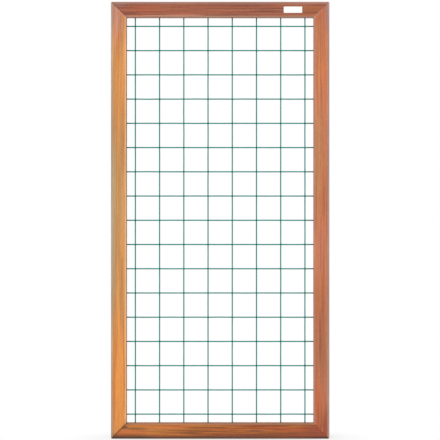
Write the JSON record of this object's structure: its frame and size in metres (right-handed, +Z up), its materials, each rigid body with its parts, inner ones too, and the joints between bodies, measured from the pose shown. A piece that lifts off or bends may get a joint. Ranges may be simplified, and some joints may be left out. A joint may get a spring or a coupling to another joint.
{
  "type": "wire mesh trellis panel",
  "caption": "Upright garden trellis panel: a mitred wooden frame with rounded edges that holds a welded square mesh of plastic-coated wire for climbing plants.",
  "frame": {"origin": "middle of the panel's bottom edge, half way through the thickness of the frame", "axes": "+Z up along the stiles, +X to the right seen from the front, +Y to the back; the front faces -Y"},
  "size_m": [0.9, 0.0426, 1.8],
  "materials": {
    "left_stile_wood": "oiled hardwood, golden orange, straight grain",
    "right_stile_wood": "oiled hardwood, orange red, straight grain",
    "top_rail_wood": "oiled hardwood, red brown, straight grain",
    "bottom_rail_wood": "oiled hardwood, orange brown, straight grain",
    "dowel_wood": "plain pale hardwood dowel",
    "coated_wire": "welded steel wire with a deep teal green plastic coat",
    "label": "plain white, bare"
  },
  "bodies": {
    "root": {"left_stile": "left_stile_wood", "right_stile": "right_stile_wood", "top_rail": "top_rail_wood", "bottom_rail": "bottom_rail_wood", "bottom_left_inner_dowel": "dowel_wood", "bottom_left_outer_dowel": "dowel_wood", "bottom_right_inner_dowel": "dowel_wood", "bottom_right_outer_dowel": "dowel_wood", "top_left_inner_dowel": "dowel_wood", "top_left_outer_dowel": "dowel_wood", "top_right_inner_dowel": "dowel_wood", "top_right_outer_dowel": "dowel_wood", "upright_wire_1": "coated_wire", "upright_wire_2": "coated_wire", "upright_wire_3": "coated_wire", "upright_wire_4": "coated_wire", "upright_wire_5": "coated_wire", "upright_wire_6": "coated_wire", "upright_wire_7": "coated_wire", "upright_wire_8": "coated_wire", "level_wire_1": "coated_wire", "level_wire_2": "coated_wire", "level_wire_3": "coated_wire", "level_wire_4": "coated_wire", "level_wire_5": "coated_wire", "level_wire_6": "coated_wire", "level_wire_7": "coated_wire", "level_wire_8": "coated_wire", "level_wire_9": "coated_wire", "level_wire_10": "coated_wire", "level_wire_11": "coated_wire", "level_wire_12": "coated_wire", "level_wire_13": "coated_wire", "level_wire_14": "coated_wire", "level_wire_15": "coated_wire", "level_wire_16": "coated_wire", "level_wire_17": "coated_wire", "label_plate": "label"}
  },
  "joints": []
}
